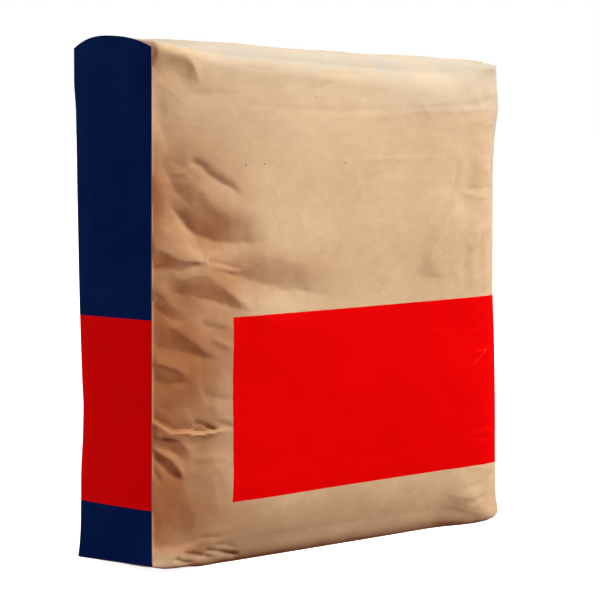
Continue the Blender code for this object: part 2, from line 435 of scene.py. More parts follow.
# Folds of the paper on the front. Each has its height in mm (a valley is negative), its widths
# above and below the line, the shares over which it fades in and out, how much it narrows, and
# its route from the left end and up from the floor, in mm.
frontFolds = [
    (3.6, 34, 19, 0.0, 0.35, 0.3,
     [(0, 398), (8, 397), (17, 395), (26, 391), (33, 387), (40, 381), (45, 373), (49, 366)]),
    (-0.5, 5, 12, 0.3, 0.4, 0.0, [(29, 363), (46, 361), (66, 362), (86, 361)]),
    (-1.1, 20, 14, 0.35, 0.5, 0.0, [(3, 367), (8, 348), (11, 333), (20, 318), (32, 307)]),
    (-2.2, 22, 14, 0.4, 0.5, 0.0, [(5, 327), (11, 308), (22, 290), (36, 277), (52, 271)]),
    (-5.6, 26, 20, 0.3, 0.3, 0.0,
     [(13, 288), (24, 272), (39, 258), (56, 251), (74, 248), (94, 249), (111, 247)]),
    (-2.2, 9, 18, 0.2, 0.35, 0.3, [(30, 311), (41, 309), (50, 304), (63, 296), (74, 291), (90, 284)]),
    (0.6, 3, 4, 0.3, 0.3, 0.0, [(17, 303), (25, 301), (33, 304), (40, 308)]),
    (-0.9, 12, 12, 0.3, 0.3, 0.0, [(8, 278), (19, 278), (30, 265), (44, 256)]),
    (1.5, 24, 8, 0.0, 0.25, 0.6, [(0, 245), (13, 241), (30, 238), (42, 235), (50, 234)]),
    (-1.5, 9, 22, 0.0, 0.25, 0.6, [(0, 231), (17, 231), (35, 231), (50, 233)]),
    (-0.8, 4, 5, 0.1, 0.4, 0.2, [(49, 235), (62, 234), (75, 231), (88, 228)]),
    (-0.7, 3, 4, 0.3, 0.4, 0.0, [(66, 225), (80, 225), (96, 222)]),
    (0.7, 4, 4, 0.1, 0.5, 0.0, [(47, 233), (50, 238), (58, 240), (68, 242)]),
    (0.7, 3, 3, 0.2, 0.3, 0.0, [(54, 231), (67, 229), (80, 226), (90, 223)]),
    (-3.4, 22, 28, 0.3, 0.45, 0.0, [(45, 232), (76, 225), (106, 216), (146, 208), (204, 200)]),
    (1.8, 28, 13, 0.25, 0.3, 0.35,
     [(8, 220), (24, 224), (43, 225), (58, 220), (72, 209), (84, 202), (98, 194)]),
    (-2.0, 14, 26, 0.25, 0.3, 0.5,
     [(6, 215), (22, 212), (43, 208), (60, 204), (74, 199), (86, 196), (98, 194)]),
    (0.9, 14, 8, 0.1, 0.4, 0.2, [(1, 216), (9, 210), (18, 203), (31, 195)]),
    (-1.3, 9, 14, 0.05, 0.4, 0.2, [(0, 205), (8, 198), (17, 193), (33, 191)]),
    (-0.8, 5, 9, 0.2, 0.4, 0.0, [(41, 190), (56, 185), (76, 181)]),
    (1.4, 20, 12, 0.2, 0.4, 0.3, [(4, 188), (18, 188), (31, 180), (40, 172), (52, 165), (65, 159)]),
    (-1.1, 11, 16, 0.1, 0.4, 0.3, [(0, 173), (18, 170), (35, 166), (50, 162), (65, 157)]),
    (0.9, 5, 5, 0.3, 0.4, 0.0, [(52, 177), (66, 171), (78, 167)]),
    (1.2, 12, 7, 0.1, 0.3, 0.4, [(0, 162), (13, 158), (24, 154), (33, 148)]),
    (-1.2, 9, 16, 0.05, 0.35, 0.3, [(-1, 148), (16, 146), (35, 145)]),
    (-0.8, 8, 10, 0.3, 0.4, 0.0, [(41, 137), (58, 131), (80, 127)]),
    (-1.9, 12, 4, 0.0, 0.35, 0.6, [(-2, 120), (7, 115), (17, 110), (29, 108), (50, 107), (79, 106)]),
    (1.9, 4, 12, 0.0, 0.35, 0.6, [(-2, 117), (7, 112), (16, 107), (29, 105), (50, 105), (79, 105)]),
    (-1.2, 4, 5, 0.1, 0.25, 0.2, [(37, 114), (47, 112), (54, 108), (62, 105)]),
    (-0.9, 4, 6, 0.3, 0.3, 0.2, [(56, 113), (66, 111), (76, 106)]),
    (1.2, 10, 9, 0.1, 0.3, 0.2, [(0, 106), (13, 105), (24, 101), (32, 94), (38, 86)]),
    (-1.2, 8, 7, 0.05, 0.4, 0.2, [(-1, 99), (11, 96), (23, 89), (35, 84)]),
    (1.4, 8, 6, 0.0, 0.25, 0.4, [(-1, 98), (8, 93), (16, 87), (24, 79), (29, 69)]),
    (-1.4, 6, 12, 0.0, 0.25, 0.4, [(-1, 92), (8, 84), (18, 76), (29, 67)]),
    (-1.2, 4, 7, 0.0, 0.5, 0.2, [(-1, 84), (4, 76), (10, 69)]),
    (0.6, 5, 6, 0.3, 0.4, 0.0, [(35, 88), (51, 85), (76, 85)]),
    (-2.4, 32, 10, 0.0, 0.6, 0.0, [(-1, 23), (16, 21), (32, 21), (47, 22), (65, 23)]),
    (-1.0, 3, 6, 0.15, 0.35, 0.0, [(19, 11), (26, 8), (33, 4), (45, -2)]),
    (-1.15, 4.5, 8, 0.15, 0.30, 0.0, [(26, 16), (37, 11), (46, 7), (57, 1), (70, -5)]),
    (-1.1, 5, 8, 0.15, 0.15, 0.0, [(50, 10), (62, 6), (74, 2), (83, -2), (94, -6)]),
    (-0.6, 6, 7, 0.3, 0.3, 0.0, [(57, 13), (69, 11), (80, 8), (89, 4)]),
    (-0.5, 5, 6, 0.3, 0.3, 0.0, [(41, 23), (54, 21), (73, 18)]),
    (1.7, 48, 26, 0.3, 0.3, 0.0, [(61, 30), (57, 53), (57, 76), (54, 94)]),
    (-0.6, 5, 5, 0.35, 0.35, 0.0, [(340, 30), (353, 32), (364, 34), (376, 36)]),
    (-0.8, 6, 5, 0.3, 0.35, 0.0, [(351, 17), (359, 19), (367, 22), (378, 25)]),
    (0.5, 9, 9, 0.4, 0.3, 0.0, [(324, 27), (343, 23), (359, 24), (375, 28)]),
    (-0.26, 7, 9, 0.3, 0.05, 0.0,
     [(51, 357), (106, 352), (182, 348), (262, 350), (324, 354), (385, 360)]),
    (0.2, 7, 6, 0.4, 0.05, 0.0, [(148, 342), (238, 345), (311, 348), (385, 351)]),
    (0.2, 4, 4, 0.3, 0.3, 0.0, [(198, 311), (261, 310), (329, 311)]),
    (0.9, 34, 9, 0.5, 0.0, 0.0, [(262, 352), (311, 355), (352, 357), (386, 362)]),
    (0.7, 20, 14, 0.35, 0.35, 0.0, [(364, 316), (361, 298), (353, 281)]),
    (-0.45, 4, 6, 0.4, 0.0, 0.0, [(340, 284), (358, 284), (382, 285)]),
    (2.3, 13, 32, 0.25, 0.35, 0.0,
     [(286, 211), (297, 230), (310, 247), (322, 262), (334, 276), (345, 284)]),
    (-1.0, 8, 24, 0.3, 0.35, 0.0, [(341, 310), (336, 300), (332, 290), (327, 282), (322, 272)]),
    (-0.9, 7, 18, 0.3, 0.3, 0.0, [(354, 238), (346, 225), (337, 211)]),
    (0.6, 12, 12, 0.35, 0.35, 0.0, [(347, 194), (356, 216), (361, 239), (364, 262)]),
    (-0.4, 4, 5, 0.3, 0.4, 0.0, [(286, 212), (300, 213), (318, 211)]),
    (-0.5, 6, 8, 0.4, 0.4, 0.0, [(78, 384), (109, 380), (141, 383)]),
    (-0.5, 6, 8, 0.4, 0.4, 0.0, [(169, 376), (203, 381), (235, 378)]),
    (-0.6, 9, 9, 0.4, 0.4, 0.0, [(149, 362), (178, 370), (207, 372)]),
]

# How a fold runs out beside its line. Narrow folds (mm) fade softly, and wide ones are flat facets:
# each row has the value when narrow, the value when wide and the mm between.
foldProfile = {
    "narrow": 8.0,
    "power": (1.8, 1.25, 18.0),
    "crispness": (1.0, 0.3, 16.0),
    "lineWidth": 1.1,
    "lineLimit": 1.2,
    "fullWidth": 20.0,  # from which a fold runs as unevenly as it can
}


def smoothRoute(points):
    # rounds a route's corners by cutting them twice
    route = np.array(points, float)
    for _ in range(2):
        cut = [route[0]]
        for a, b in zip(route[:-1], route[1:]):
            cut += [mix(a, b, 0.25), mix(a, b, 0.75)]
        cut.append(route[-1])
        route = np.array(cut)
    return route


def nearRoute(places, route):
    # distance to the route, the side it lies on (1 is left of its run) and the share of its length
    steps = np.diff(route, axis=0)
    lengths = np.hypot(steps[:, 0], steps[:, 1])
    before = np.concatenate(([0.0], np.cumsum(lengths)))
    best = np.full(len(places), 1e9)
    side = np.ones(len(places))
    share = np.zeros(len(places))
    for start, step, length, run in zip(route[:-1], steps, lengths, before):
        off = places - start
        t = np.clip(off @ step / (length * length), 0.0, 1.0)
        gap = np.hypot(off[:, 0] - t * step[0], off[:, 1] - t * step[1])
        nearer = gap < best
        best = np.where(nearer, gap, best)
        side = np.where(nearer, np.sign(step[0] * off[:, 1] - step[1] * off[:, 0]), side)
        share = np.where(nearer, (run + t * length) / before[-1], share)
    return best, side, share


def addFold(relief, lines, places, mask, fold):
    height, above, below, fadeIn, fadeOut, narrowing, points = fold
    route = smoothRoute(points)
    reach = max(above, below)
    low, high = route.min(axis=0) - reach, route.max(axis=0) + reach
    near = np.nonzero(mask & np.all((places > low) & (places < high), axis=1))[0]
    if not len(near):
        return
    gap, side, share = nearRoute(places[near], route)
    width = np.where(side > 0.0, above, below) * (1.0 - narrowing * share)
    fade = np.ones(len(near))
    if fadeIn:
        fade *= ease(share / fadeIn)
    if fadeOut:
        fade *= ease((1.0 - share) / fadeOut)
    power, crispness = (
        mix(narrow, wide, ease((width - foldProfile["narrow"]) / between))
        for narrow, wide, between in (foldProfile["power"], foldProfile["crispness"])
    )
    relief[near] += height * fade * (1.0 - np.clip(gap / width, 0.0, 1.0)) ** power
    strength = np.clip(height, -foldProfile["lineLimit"], foldProfile["lineLimit"])
    lines[near] += strength * fade * crispness * np.exp(-((gap / foldProfile["lineWidth"]) ** 2))


# Where handling has left chance folds: panel, count, range along and up (mm), slant (degrees),
# length, width and height (mm).
chanceFolds = [
    ("front", 16, (2, 14), (20, 385), (-40, 12), (18, 60), (3, 8), (0.10, 0.35)),
    ("front", 30, (378, 390), (14, 375), (165, 222), (16, 60), (3, 8), (0.15, 0.55)),
    ("front", 36, (60, 350), (20, 400), (-30, 30), (24, 70), (6, 14), (0.08, 0.25)),
    ("back", 34, (2, 14), (16, 390), (-38, 30), (26, 100), (5, 16), (0.5, 2.3)),
    ("back", 34, (378, 390), (14, 380), (150, 215), (26, 100), (5, 16), (0.5, 2.3)),
    ("back", 34, (60, 340), (20, 400), (-35, 35), (26, 80), (6, 16), (0.1, 0.35)),
    ("top", 16, (2, 14), (-40, 40), (-30, 30), (18, 60), (3, 9), (0.3, 1.0)),
    ("top", 16, (378, 390), (-38, 38), (150, 210), (18, 60), (3, 9), (0.3, 1.0)),
    ("top", 22, (60, 330), (-36, 36), (-25, 25), (24, 90), (4, 10), (0.15, 0.5)),
]
chance = {
    "seed": 11,
    "bend": 16.0,  # degrees at most at each of two turns
    "fades": (0.15, 0.6),
    "narrowing": 0.4,
}


def chanceRoute(dice, along, up, slant, length):
    x, w = dice.uniform(*along), dice.uniform(*up)
    turn = math.radians(dice.uniform(*slant))
    reach = dice.uniform(*length)
    bend = math.radians(dice.uniform(-chance["bend"], chance["bend"]))
    points = [(x, w)]
    for step in range(3):
        x += math.cos(turn) * reach / 3.0
        w += math.sin(turn) * reach / 3.0
        points.append((x, w))
        turn += bend
    return points


def foldPaper(places, panels):
    relief = np.zeros(len(panels["front"]))
    lines = np.zeros_like(relief)
    # listed folds run a little unevenly, up to 3.7 mm along and up, and narrow ones less
    u, w = places["front"].T
    uneven = np.stack([
        noiseAt(u * 0.06, w * 0.06, first) * 3.0 + noiseAt(u * 0.14, w * 0.14, second) * 0.7
        for first, second in ((3.0, 8.0), (5.0, 2.0))
    ], -1)
    for fold in frontFolds:
        share = min(max(fold[1], fold[2]) / foldProfile["fullWidth"], 1.0)
        addFold(relief, lines, places["front"] + uneven * share, panels["front"], fold)
    dice = random.Random(chance["seed"])
    for panel, count, along, up, slant, length, width, height in chanceFolds:
        for _ in range(count):
            route = chanceRoute(dice, along, up, slant, length)
            sign = -1.0 if dice.random() < 0.5 else 1.0
            fold = (
                sign * dice.uniform(*height), dice.uniform(*width), dice.uniform(*width),
                *chance["fades"], dice.uniform(0.0, chance["narrowing"]), route,
            )
            addFold(relief, lines, places[panel], panels[panel], fold)
    return relief, lines


# Crumpled paper as nets of flat facets: spacing along and across the slant (mm), slant (degrees),
# and height (mm) near the left end, in the middle and near the right end.
facetNets = [
    ((26, 12), -40, (1.0, 0.05, 0.35)),
    ((60, 36), -25, (0.8, 0.35, 0.5)),
]
crumpling = {
    "seed": 5,
    "jitter": 0.42,  # of the spacing
    "left": (22.0, 80.0),  # mm from the left end where it begins to calm, and over how many
    "right": 70.0,
    # the front is calmer high up and low down: height and reach in mm, and share that is taken off
    "calmHigh": (270.0, 60.0, 0.6),
    "calmLow": (105.0, 50.0, 0.5),
}


def facetRelief(spots, spacing, slant, dice):
    # heights at scattered points, joined by flat triangles
    turn = math.radians(slant)
    spin = np.array([[math.cos(turn), -math.sin(turn)], [math.sin(turn), math.cos(turn)]])
    turned = spots @ spin
    border = 1.5 * np.array(spacing)  # the net reaches past the paper
    low, high = turned.min(axis=0) - border, turned.max(axis=0) + border
    counts = np.ceil((high - low) / spacing).astype(int) + 1
    jitter = crumpling["jitter"]
    points = [
        Vector([
            start + (step + dice.uniform(-jitter, jitter)) * gap
            for start, step, gap in zip(low, (i, j), spacing)
        ])
        for i in range(counts[0]) for j in range(counts[1])
    ]
    heights = np.array([dice.uniform(-1.0, 1.0) for _ in points])
    corners, _, triangles, sources, _, _ = geometry.delaunay_2d_cdt(points, [], [], 0, 1e-6)
    corners = np.array([tuple(corner) for corner in corners])
    heights = np.array([heights[source[0]] for source in sources])
    order = np.argsort(turned[:, 0])
    sortedX = turned[order, 0]
    relief = np.zeros(len(spots))
    for triangle in triangles:
        a, b, c = corners[list(triangle)]
        first, last = np.searchsorted(sortedX, (min(a[0], b[0], c[0]), max(a[0], b[0], c[0])))
        near = order[first:last]
        sides = np.stack([b - a, c - a], -1)
        if not len(near) or abs(np.linalg.det(sides)) < 1e-6:
            continue
        shares = np.linalg.solve(sides, (turned[near] - a).T)
        shares = np.stack([1.0 - shares[0] - shares[1], *shares])
        inside = shares.min(axis=0) >= -1e-6
        relief[near[inside]] = (heights[list(triangle)] @ shares)[inside]
    return relief


def crumple(along, up, girth, side):
    # the paper is crumpled most at the block ends, and less in the upper part of the front
    dice = random.Random(crumpling["seed"])
    start, reach = crumpling["left"]
    left = 1.0 - ease((fromLeftEnd(along) - start) / reach)
    right = 1.0 - ease(fromRightEnd(along) / crumpling["right"])
    high, highReach, highShare = crumpling["calmHigh"]
    low, lowReach, lowShare = crumpling["calmLow"]
    calm = 1.0 - highShare * ease((up - high) / highReach) - lowShare * ease((low - up) / lowReach)
    calm = np.where(side < 0.0, calm, 1.0)
    spots = np.stack([fromLeftEnd(along), girth], -1)
    relief = np.zeros(len(spots))
    for spacing, slant, (atLeft, inMiddle, atRight) in facetNets:
        height = inMiddle + (atLeft - inMiddle) * left * calm + (atRight - inMiddle) * right
        relief += facetRelief(spots, spacing, slant, dice) * height
    return relief


# Soft swelling of the filled paper: noise scales along, across and up, shift, and height in mm.
swelling = {
    "noises": (((11.0, 14.0, 11.0), 0.0, 1.3), ((34.0, 34.0, 38.0), 5.0, 0.32)),
    "endCalm": 25.0,  # mm from the block ends
    "floorCalm": (4.0, 14.0),  # how far under the floor (mm) it begins, and over how many it comes in
}
stillness = {
    "end": 4.0,  # mm from the block ends over which the paper is held by its crease
    "floor": (5.0, 0.2),  # mm over the floor, and share that stays there
}


def swell(x, y, z, up, fromEnd):
    relief = sum(
        noiseAt(x * scale[0] + shift, y * scale[1], z * scale[2]) * height
        for scale, shift, height in swelling["noises"]
    )
    calm = 1.0 - np.clip(1.0 - fromEnd / swelling["endCalm"], 0.0, 1.0) ** 2
    lowest, reach = swelling["floorCalm"]
    return relief * calm * ease((up + lowest) / reach)


# Painted shade and painted highlights on the paper, and grey dust, as shares from 0 to 1.
# Painted shade: the paper's colour is darkened near the ends, low down and in patches where its folds
# fall into shade, and one patch is lightened. Its share at the left end goes by height (mm).
paintedShade = {
    "leftReach": 140.0,  # mm
    "rightReach": 45.0,
    "rightShare": 0.08,
    "lowReach": 46.0,
    "lowShare": 0.2,
    "leftShare": [(0, 0.2), (12, 0.5), (24, 0.82), (50, 1.0), (65, 0.9), (120, 0.98), (155, 1.25),
                  (175, 1.15), (208, 0.82), (247, 0.68), (280, 0.82), (320, 0.52), (345, 0.22),
                  (400, 0.14)],
    # on the back: share, share on the top, and height and reach of the change in mm
    "back": (0.6, 0.14, 376.0, 30.0),
    # from the left end, up, reach along and up (mm), and share
    "patches": [
        (110, 222, 95, 24, 0.40), (62, 260, 40, 24, 0.45), (362, 302, 20, 25, 0.28),
        (370, 230, 9, 28, 0.18), (10, 4, 26, 16, -0.8), (200, 30, 200, 32, 0.24),
        (46, 12, 26, 14, 0.5), (35, 210, 50, 20, 0.12), (230, 232, 200, 32, 0.14),
        (72, 190, 26, 48, 0.22), (2, 290, 13, 100, 0.22), (3, 118, 11, 10, 0.5),
        (2, 60, 12, 44, 0.42), (76, 240, 56, 28, 0.20), (8, 236, 22, 9, 0.35),
        (9, 196, 16, 10, 0.3), (15, 66, 18, 20, 0.3), (52, 212, 40, 18, 0.16),
    ],
    "shadeTint": (0.58, 0.335, 0.23),
}

# Painted highlight: the paper is made paler near the top. Depth below the crest in mm and share, then
# how deep it reaches at the right end, how softly it ends there, and its share.
topHighlight = {
    "fall": [(0, 0.0), (16, 0.04), (36, 0.08), (55, 0.07), (110, 0.0), (200, 0.0)],
    "rightEnd": (35.0, 7.0, 0.34),
    "rightFrom": (-0.1, 0.6),  # place along the sack (-1 to 1) where that begins, and its reach
    "rightTop": 12.0,  # mm below the crest over which it comes in
    "leftBare": (14.0, 70.0),  # none nearer to the left end than this, and then it comes in (mm)
    "colour": (0.76, 0.67, 0.54),
}

# Grey cement dust on the top, which also serves as a painted highlight there: depth below the crest in
# mm, and share of the paper it covers.
dustAndHighlight = {
    "fall": [(0, 0.90), (5, 0.72), (9, 0.50), (12, 0.37), (15, 0.25), (20, 0.15), (30, 0.07),
             (50, 0.0), (60, 0.0)],
    # under the fold at the top left corner there is none: from the left end, up, and reaches (mm)
    "bare": (14, 380, 46, 27),
    "bareEdge": 0.55,  # share of those reaches over which it comes in
    # along the right end's crease: reach (mm), share, and height it begins at and comes in over
    "rightCrease": (12.0, 0.8, 120.0, 200.0),
    # on the flat of the top it is thinner: distance in from the faces, reach (mm) and share
    "flat": (5.6, 14.0, 0.72),
    "backShoulder": 0.55,  # share of it on the shoulder behind
    "patchNoise": (26.0, 4.0, 0.65),
    "patchRange": (0.34, 0.62, 0.5, 1.05),
    "colour": (0.46, 0.435, 0.385),
}


def paintedShadeAt(along, up, side):
    # painted shade: darker paper near the ends, low down and in patches
    left = 1.0 - ease(fromLeftEnd(along) / paintedShade["leftReach"])
    right = 1.0 - ease(fromRightEnd(along) / paintedShade["rightReach"])
    low = 1.0 - ease(up / paintedShade["lowReach"])
    front = softInterp(up, paintedShade["leftShare"])
    behind, onTop, topHeight, topReach = paintedShade["back"]
    back = mix(behind, onTop, ease((up - topHeight) / topReach))
    share = np.maximum(left * np.where(side < 0.0, front, back), paintedShade["lowShare"] * low)
    share += paintedShade["rightShare"] * right
    for middle, height, alongReach, upReach, strength in paintedShade["patches"]:
        gap = np.hypot((fromLeftEnd(along) - middle) / alongReach, (up - height) / upReach)
        share += np.where(side < 0.0, strength * (1.0 - ease(gap)), 0.0)
    return np.clip(share, 0.0, 1.0)


def topHighlightAt(along, depth):
    # painted highlight: how much paler the top is painted
    bareEnd, comesIn = topHighlight["leftBare"]
    topHighlightShare = softInterp(depth, topHighlight["fall"]) * ease((fromLeftEnd(along) - bareEnd) / comesIn)
    deepest, softness, share = topHighlight["rightEnd"]
    start, reach = topHighlight["rightFrom"]
    veil = share * ease((along - start) / reach) * (1.0 - ease((depth - deepest) / softness))
    return np.maximum(topHighlightShare, veil * ease(depth / topHighlight["rightTop"]))


def dustAndHighlightAt(along, up, side, inward, depth):
    dustAndHighlightShare = softInterp(depth, dustAndHighlight["fall"])
    reach, share, lowest, rise = dustAndHighlight["rightCrease"]
    crease = share * (1.0 - ease(fromRightEnd(along) / reach))
    dustAndHighlightShare = np.maximum(dustAndHighlightShare, crease * ease((up - lowest) / rise))
    start, reach, share = dustAndHighlight["flat"]
    shoulder = np.where(side < 0.0, 1.0, dustAndHighlight["backShoulder"])
    dustAndHighlightShare *= mix(shoulder, share, ease((inward - start) / reach))
    middle, height, alongReach, upReach = dustAndHighlight["bare"]
    gap = np.hypot((fromLeftEnd(along) - middle) / alongReach, (up - height) / upReach)
    edge = dustAndHighlight["bareEdge"]
    return dustAndHighlightShare * np.where(side < 0.0, ease((gap - 1.0 + edge) / edge), 1.0)


# Building the sack.
def newGrid(name, columns, rows):
    # a flat sheet, and where its points lie on it: across from -1 to 1 and up from 0 to 1
    bpy.ops.object.select_all(action="DESELECT")
    bpy.ops.mesh.primitive_grid_add(x_subdivisions=columns, y_subdivisions=rows, size=2.0)
    sheet = bpy.context.object
    sheet.name = name
    flat = np.empty(len(sheet.data.vertices) * 3)
    sheet.data.vertices.foreach_get("co", flat)
    flat = flat.reshape(-1, 3)
    return sheet, flat[:, 0], (flat[:, 1] + 1.0) / 2.0


def placePoints(mesh, *axes):
    mesh.vertices.foreach_set("co", np.stack(axes, -1).ravel())
    mesh.update()


def faceOutwards(mesh, y):
    # turns the rolled sheet's faces outwards, and gives the way that each point looks
    normals = np.empty(len(mesh.vertices) * 3)
    mesh.vertices.foreach_get("normal", normals)
    normals = normals.reshape(-1, 3)
    if np.median(normals[:, 1] * np.sign(y)) < 0.0:
        mesh.flip_normals()
        normals = -normals
    return normals


def makeSack():
    sack, column, row = newGrid("creased_sack", sackForm["columns"], sackForm["rows"])
    mesh = sack.data
    along = np.interp((column + 1.0) / 2.0, *zip(*sackForm["columnSpread"]))
    rowShares, acrossStops, heightStops = zip(*sackForm["rowSpread"])
    across = np.interp(row, rowShares, acrossStops)
    height = np.interp(row, rowShares, heightStops)
    x, y, z = sectionPoint(along, across, height)
    placePoints(mesh, x, y, z)
    normals = faceOutwards(mesh, y)

    # paper coordinates in mm: from the left end, and up each broad face, then on over the top
    side = np.where(across < 0.0, -1.0, 1.0)
    inward = np.maximum(halfDepthAt(along, height, side) - np.abs(y), 0.0) / mm
    up = z / mm + np.where(height > 0.5, inward, -inward)
    front, back = facesAt(along, height)
    girth = np.where(side < 0.0, up, (2.0 * crestAt(along) + back + front) / mm - up)
    face = np.stack([fromLeftEnd(along), up], -1)
    places = {"front": face, "back": face, "top": np.stack([fromLeftEnd(along), y / mm], -1)}
    panels = {"front": side < 0.0, "back": side > 0.0, "top": height > sackForm["topFrom"]}

    fromEnd = np.minimum(fromLeftEnd(along), fromRightEnd(along))
    still, stays = stillness["floor"]
    weights = 1.0 - np.clip(1.0 - fromEnd / stillness["end"], 0.0, 1.0) ** 2
    weights *= ease(z / mm / still + stays)
    relief, lines = foldPaper(places, panels)
    relief = (relief + crumple(along, up, girth, side)) * weights + swell(x, y, z, up, fromEnd)
    seam = ease((up * mm - sackForm["seamHeight"]) / sackForm["seamWidth"] + 0.5) - 1.0
    seam *= sackForm["seamStep"] / mm * ease(fromEnd / stillness["end"])
    relief += np.where((side > 0.0) & (height < 0.99), seam, 0.0)
    placed = np.stack([x, y, z], -1) + normals * (relief * mm)[:, None]
    placed[:, 2] = np.maximum(placed[:, 2], 0.0)
    placePoints(mesh, *placed.T)

    depth = (crestAt(along) - topFall(along, across) - z) / mm
    # per-point shares for the finish: painted shade, a painted paler top, and dust that also stands in
    # for the top's highlight
    wears = {
        "foldLines": lines * weights,
        "paintedShade": paintedShadeAt(along, up, side),
        "dustAndHighlightShare": dustAndHighlightAt(along, up, side, inward, depth),
        "topHighlightShare": topHighlightAt(along, depth),
    }
    for name, values in wears.items():
        layer = mesh.attributes.new(name, "FLOAT", "POINT")
        layer.data.foreach_set("value", values.astype(np.float32))
    mapPaper(mesh, fromLeftEnd(along) * mm, up * mm + (side > 0.0))
    return sack


def mapPaper(mesh, u, v):
    # the paper's own coordinates in metres, which the front's print follows. On the back they
    # are a metre further up, so nothing is printed there
    corner = np.empty(len(mesh.loops), int)
    mesh.loops.foreach_get("vertex_index", corner)
    layer = mesh.uv_layers[0]
    layer.name = "paper"
    layer.data.foreach_set("uv", np.stack([u[corner], v[corner]], -1).ravel())
    mesh.update()


def selectRim(mesh, sign):
    edit = bmesh.from_edit_mesh(mesh)
    for edge in edit.edges:
        if edge.is_boundary and edge.verts[0].co.x * sign > 0.0:
            edge.select = True
    bmesh.update_edit_mesh(mesh)


def turnRim(mesh, sign, inset, out):
    # one more turn of the rim: drawn in all round, and moved along the tube
    selectRim(mesh, sign)
    bpy.ops.mesh.extrude_edges_move()
    middle, (easeY, easeZ) = sackForm["rimMiddle"], sackForm["rimEase"]
    edit = bmesh.from_edit_mesh(mesh)
    for vertex in edit.verts:
        if vertex.select:
            offY, offZ = vertex.co.y, vertex.co.z - middle
            reachY, reachZ = abs(offY) + 1e-6, abs(offZ) + 1e-6
            vertex.co.y -= math.copysign(min(inset, reachY), offY) * min(1.0, reachY / easeY)
            vertex.co.z -= math.copysign(min(inset, reachZ), offZ) * ease(reachZ / easeZ)
            vertex.co.x += sign * out
    bmesh.update_edit_mesh(mesh)
    bpy.ops.mesh.select_all(action="DESELECT")


def closeSack(sack):
    # welds the rolled sheet along the underside and folds the rim in at both ends
    bpy.ops.object.select_all(action="DESELECT")
    sack.select_set(True)
    bpy.context.view_layer.objects.active = sack
    bpy.ops.object.mode_set(mode="EDIT")
    bpy.ops.mesh.select_mode(type="VERT")
    bpy.ops.mesh.select_all(action="SELECT")
    bpy.ops.mesh.remove_doubles(threshold=1e-6)
    bpy.ops.mesh.select_all(action="DESELECT")
    for sign in (-1.0, 1.0):
        for inset, out in sackForm["rimTurns"]:
            turnRim(sack.data, sign, inset, out)
        selectRim(sack.data, sign)
        bpy.ops.mesh.edge_face_add()
        bpy.ops.mesh.select_all(action="DESELECT")
    bpy.ops.object.mode_set(mode="OBJECT")
    bpy.ops.object.shade_smooth_by_angle(angle=math.radians(48.0))


# Finishes. Each noise has its scale, detail, roughness and stretch along the three axes.
paperGrain = {
    "cloud": (14.0, 4.0, 0.6),
    "blotch": (75.0, 3.0, 0.55, (1.0, 1.0, 1.6)),
    "fibre": (520.0, 3.0, 0.6, (0.22, 1.0, 1.0)),
    "crossFibre": (640.0, 2.0, 0.6, (1.0, 1.0, 0.25)),
    "grain": (1700.0, 2.0, 0.5),
    "fleck": (330.0, 2.0, 0.5, (0.5, 1.0, 1.0)),
    "crinkle": (190.0, 3.0, 0.55, (0.6, 1.0, 1.0)),
}
inkGrain = {
    "speck": (900.0, 2.0, 0.6, (0.5, 1.0, 1.0)),
    "cloud": (22.0, 4.0, 0.6),
    "roll": (260.0, 2.0, 0.5),
}

paperLook = {
    "pale": (0.660, 0.480, 0.300),
    "deep": (0.540, 0.370, 0.215),
    "fleck": (0.30, 0.18, 0.09),
    "fleckShare": 0.35,
    # painted highlight along the ridges of folds, and painted shade in their valleys
    "ridgeHighlight": (0.80, 0.62, 0.43),
    "ridgeHighlightShare": 0.35,
    "valleyShade": (0.36, 0.20, 0.09),
    "valleyShadeShare": 0.30,
    "red": (0.730, 0.0005, 0.0010),
    "redDeep": (0.680, 0.0003, 0.0006),
    "navy": (0.0014, 0.0150, 0.100),
    "navyDeep": (0.0006, 0.0090, 0.066),
    "roughness": 0.86,
    "inkRoughness": 0.62,
    "sleeveRoughness": (0.90, 0.82),
    "gloss": 0.01,
    "bump": 0.55,
    "bumpHeight": 0.0003,
}

# A painted highlight: a pale line along the crease round the block ends, on the front only.
creaseHighlight = {
    "noise": (60.0, 3.0),
    "stray": 0.0010,
    "from": 0.0010,  # inwards from the block end
    "to": 0.0002,  # beyond it
    "share": 0.45,
    "frontFrom": -0.02,
    "colour": (0.58, 0.44, 0.36),
}


def newGroup(name, sockets):
    group = bpy.data.node_groups.new(name, "ShaderNodeTree")
    for label, way, kind in sockets:
        group.interface.new_socket(name=label, in_out=way, socket_type="NodeSocket" + kind)
    return group, group.nodes.new("NodeGroupInput").outputs, group.nodes.new("NodeGroupOutput").inputs


def makePaperGroup():
    # sheet tone and surface of kraft paper: cloudy pulp, fibres, flecks and fine crinkles
    group, enter, leave = newGroup("paperStock", [
        ("Vector", "INPUT", "Vector"), ("Tone", "OUTPUT", "Float"),
        ("Flecks", "OUTPUT", "Float"), ("Height", "OUTPUT", "Float"),
    ])
    noises = {name: noiseNode(group, enter["Vector"], *grain) for name, grain in paperGrain.items()}
    fibres = blendNodes(group, (noises["fibre"], 0.6), (noises["crossFibre"], 0.4))
    tone = blendNodes(
        group, (noises["cloud"], 0.45), (noises["blotch"], 0.25),
        (fibres, 0.22), (noises["grain"], 0.08),
    )
    height = blendNodes(group, (fibres, 0.35), (noises["grain"], 0.2), (noises["crinkle"], 0.9))
    group.links.new(tone, leave["Tone"])
    group.links.new(rangeNode(group, noises["fleck"], 0.70, 0.78), leave["Flecks"])
    group.links.new(height, leave["Height"])


